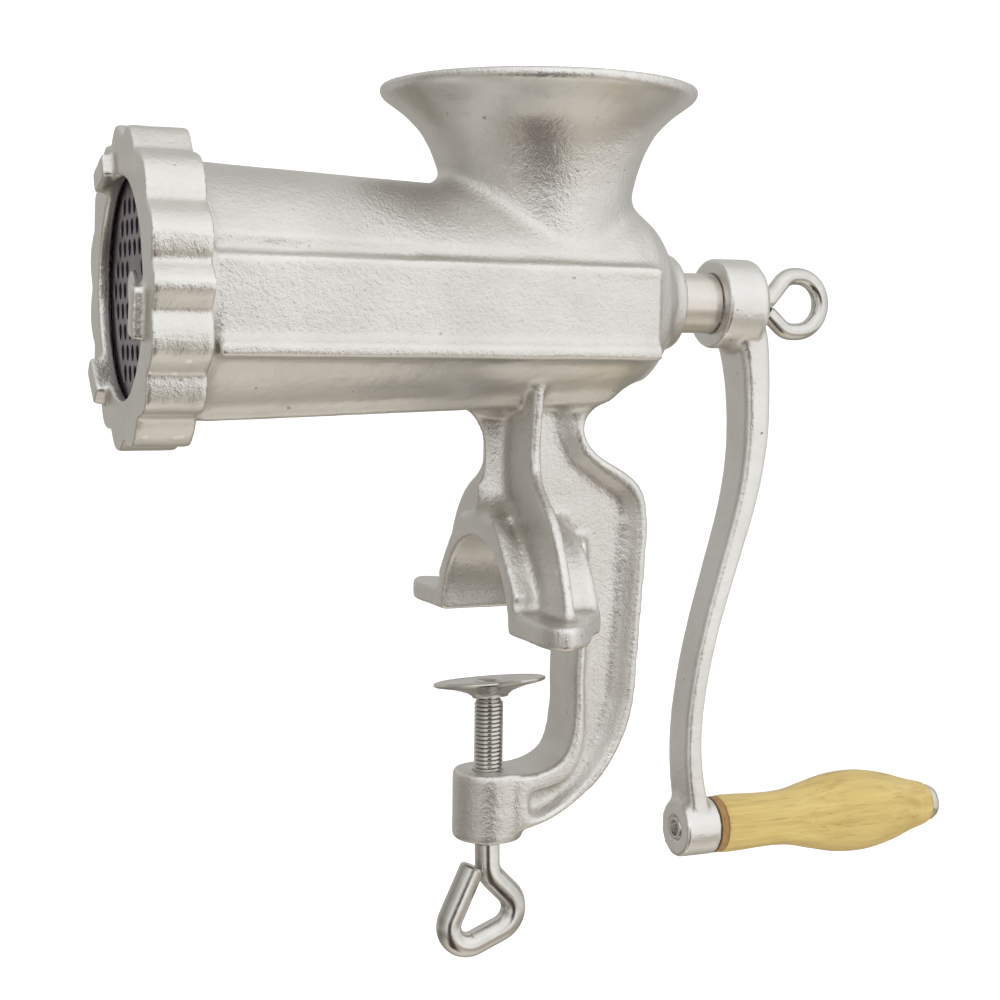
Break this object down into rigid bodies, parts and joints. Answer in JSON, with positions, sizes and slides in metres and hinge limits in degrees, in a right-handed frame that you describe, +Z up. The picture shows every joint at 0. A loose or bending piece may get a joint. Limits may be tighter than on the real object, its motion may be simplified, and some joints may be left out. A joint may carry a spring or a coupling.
{
  "type": "hand crank meat grinder",
  "caption": "Clamp-on hand crank meat grinder of tinned cast iron, with a hopper, screw auger, knife and plate behind a ring nut, and a wooden crank grip.",
  "frame": {"origin": "on the plane of the table's top, under the saddle jaw, on the axis of the clamp screw", "axes": "+Z up along the clamp screw, -X towards the outlet, +X towards the crank, the crank turns about X"},
  "size_m": [0.222, 0.092, 0.2082],
  "materials": {
    "tinned_iron": "sand-cast iron with a bright tin coat",
    "plate_steel": "ground tool steel",
    "plated_steel": "zinc-plated steel rod and sheet",
    "wood": "varnished turned beech",
    "fibre": "brown vulcanised fibre"
  },
  "bodies": {
    "casting": {"barrel_casting": "tinned_iron", "hopper_casting": "tinned_iron", "saddle_casting": "tinned_iron", "clamp_frame_casting": "tinned_iron", "plate_key_pin": "plate_steel", "thrust_washer": "fibre"},
    "crank": {"crank_arm": "tinned_iron", "auger": "tinned_iron", "knife_stud": "plate_steel", "knife": "plate_steel", "handle_pin": "plated_steel", "handle_end_washer": "plated_steel"},
    "eye_screw": {"eye_screw": "plated_steel"},
    "grip": {"wood_grip": "wood", "grip_collar": "fibre"},
    "plate": {"grinding_plate": "plate_steel"},
    "ring": {"ring_nut": "tinned_iron"},
    "disc": {"clamp_disc": "plated_steel"},
    "screw": {"clamp_screw": "plated_steel"}
  },
  "joints": [
    {"name": "crank_turn", "type": "hinge", "parent": "casting", "child": "crank", "pos_m": [0, 0, 0.077], "axis": [1, 0, 0], "continuous": true},
    {"name": "grip_spin", "type": "hinge", "parent": "crank", "child": "grip", "pos_m": [0.09, 0, -0.0555], "axis": [1, 0, 0], "continuous": true},
    {"name": "eye_screw_turn", "type": "hinge", "parent": "crank", "child": "eye_screw", "pos_m": [0.075, 0, 0.077], "axis": [1, 0, 0], "range_deg": [0, 180]},
    {"name": "plate_draw", "type": "slide", "parent": "casting", "child": "plate", "axis": [-1, 0, 0], "range_m": [-0.00001, 0.00901]},
    {"name": "ring_turn", "type": "hinge", "parent": "plate", "child": "ring", "pos_m": [-0.08, 0, 0.077], "axis": [-1, 0, 0], "range_deg": [0, 1080]},
    {"name": "clamp_travel", "type": "slide", "parent": "casting", "child": "disc", "axis": [0, 0, 1], "range_m": [-0.013, 0.0045]},
    {"name": "clamp_screw_turn", "type": "hinge", "parent": "disc", "child": "screw", "pos_m": [0, 0, -0.04], "axis": [0, 0, 1], "range_deg": [-4684, 1624]}
  ],
  "couplings": [
    {"joint": "plate_draw", "follows": "ring_turn", "m_per_rad": 0.00047746},
    {"joint": "clamp_screw_turn", "follows": "clamp_travel", "rad_per_m": 6283.2}
  ]
}
